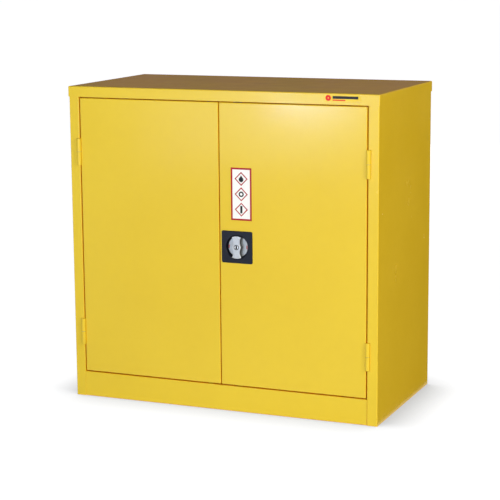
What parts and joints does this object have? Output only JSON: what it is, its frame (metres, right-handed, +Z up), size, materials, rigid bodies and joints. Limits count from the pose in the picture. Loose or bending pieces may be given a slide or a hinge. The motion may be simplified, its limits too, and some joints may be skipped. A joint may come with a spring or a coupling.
{
  "type": "flammable storage cabinet",
  "caption": "Floor-standing double-door steel cabinet for flammable liquids, with sump tray, shelves and a turn-knob lock that drives rods up and down.",
  "frame": {"origin": "middle of the bounding box's footprint, on the floor", "axes": "+X to the right of someone facing the doors, +Y to the back, +Z up"},
  "size_m": [0.904, 0.48, 0.88],
  "materials": {
    "carcass_paint": "semi-gloss powder coat",
    "lid_paint": "semi-gloss powder coat",
    "door_paint": "semi-gloss powder coat",
    "hinge_paint": "semi-gloss powder coat",
    "pin_steel": "turned steel",
    "shelf_steel": "galvanised spangle",
    "zinc_steel": "bright zinc plate",
    "lock_black": "moulded, lightly textured",
    "guide_black": "moulded",
    "knob_metal": "satin silver lacquer on die-casting",
    "marker_red": "enamel inlay",
    "cylinder_chrome": "polished",
    "buffer_rubber": "matt",
    "door_label": "printed vinyl sticker",
    "fascia_label": "printed vinyl sticker"
  },
  "bodies": {
    "carcass": {"side_panel_right": "carcass_paint", "side_panel_left": "carcass_paint", "back_panel": "carcass_paint", "header_rail": "carcass_paint", "plinth": "carcass_paint", "sump_tray": "carcass_paint", "shelf_upright_front_right": "carcass_paint", "shelf_upright_front_left": "carcass_paint", "shelf_upright_rear_right": "carcass_paint", "shelf_upright_rear_left": "carcass_paint", "top_lid": "lid_paint", "upper_shelf": "shelf_steel", "lower_shelf": "shelf_steel", "upper_shelf_clips": "zinc_steel", "lower_shelf_clips": "zinc_steel", "door_buffers": "buffer_rubber", "hinge_washers": "pin_steel", "fascia_label": "fascia_label", "right_lower_frame_knuckle": "hinge_paint", "right_lower_hinge_pin": "pin_steel", "right_upper_frame_knuckle": "hinge_paint", "right_upper_hinge_pin": "pin_steel", "left_lower_frame_knuckle": "hinge_paint", "left_lower_hinge_pin": "pin_steel", "left_upper_frame_knuckle": "hinge_paint", "left_upper_hinge_pin": "pin_steel"},
    "right_door": {"right_door_skin": "door_paint", "right_door_stiffener": "door_paint", "lock_plate": "lock_black", "lock_clamp_plate": "zinc_steel", "lock_screws": "zinc_steel", "upper_rod_guide": "guide_black", "lower_rod_guide": "guide_black", "door_label": "door_label", "right_lower_door_knuckle": "hinge_paint", "right_upper_door_knuckle": "hinge_paint"},
    "left_door": {"left_door_skin": "door_paint", "left_door_stiffener": "door_paint", "meeting_strip": "door_paint", "lock_keeper": "zinc_steel", "upper_bolt_bracket": "door_paint", "lower_bolt_bracket": "door_paint", "left_lower_door_knuckle": "hinge_paint", "left_upper_door_knuckle": "hinge_paint"},
    "knob": {"lock_knob": "knob_metal", "knob_markers": "marker_red", "lock_cylinder": "cylinder_chrome", "lock_cam": "zinc_steel", "cam_screw": "zinc_steel"},
    "key_plug": {"key_plug": "cylinder_chrome"},
    "upper_rod": {"upper_lock_rod": "zinc_steel"},
    "lower_rod": {"lower_lock_rod": "zinc_steel"},
    "upper_bolt": {"upper_door_bolt": "zinc_steel"},
    "lower_bolt": {"lower_door_bolt": "zinc_steel"}
  },
  "joints": [
    {"name": "right_door_hinge", "type": "hinge", "parent": "carcass", "child": "right_door", "pos_m": [0.4224, -0.2335, 0.4435], "axis": [0, 0, 1], "range_deg": [0, 175]},
    {"name": "left_door_hinge", "type": "hinge", "parent": "carcass", "child": "left_door", "pos_m": [-0.4224, -0.2335, 0.4435], "axis": [0, 0, -1], "range_deg": [0, 175]},
    {"name": "knob_turn", "type": "hinge", "parent": "right_door", "child": "knob", "pos_m": [0.0515, -0.232, 0.459], "axis": [0, 1, 0], "range_deg": [0, 90]},
    {"name": "key_turn", "type": "hinge", "parent": "knob", "child": "key_plug", "pos_m": [0.0515, -0.232, 0.459], "axis": [0, 1, 0], "range_deg": [0, 90]},
    {"name": "upper_rod_slide", "type": "slide", "parent": "right_door", "child": "upper_rod", "axis": [0, 0, 1], "range_m": [0, 0.02263]},
    {"name": "lower_rod_slide", "type": "slide", "parent": "right_door", "child": "lower_rod", "axis": [0, 0, -1], "range_m": [0, 0.02263]},
    {"name": "upper_bolt_slide", "type": "slide", "parent": "left_door", "child": "upper_bolt", "axis": [0, 0, 1], "range_m": [0, 0.02]},
    {"name": "lower_bolt_slide", "type": "slide", "parent": "left_door", "child": "lower_bolt", "axis": [0, 0, -1], "range_m": [0, 0.02]}
  ],
  "couplings": [
    {"joint": "upper_rod_slide", "follows": "knob_turn", "m_per_rad": 0.014405},
    {"joint": "lower_rod_slide", "follows": "knob_turn", "m_per_rad": 0.014405}
  ]
}
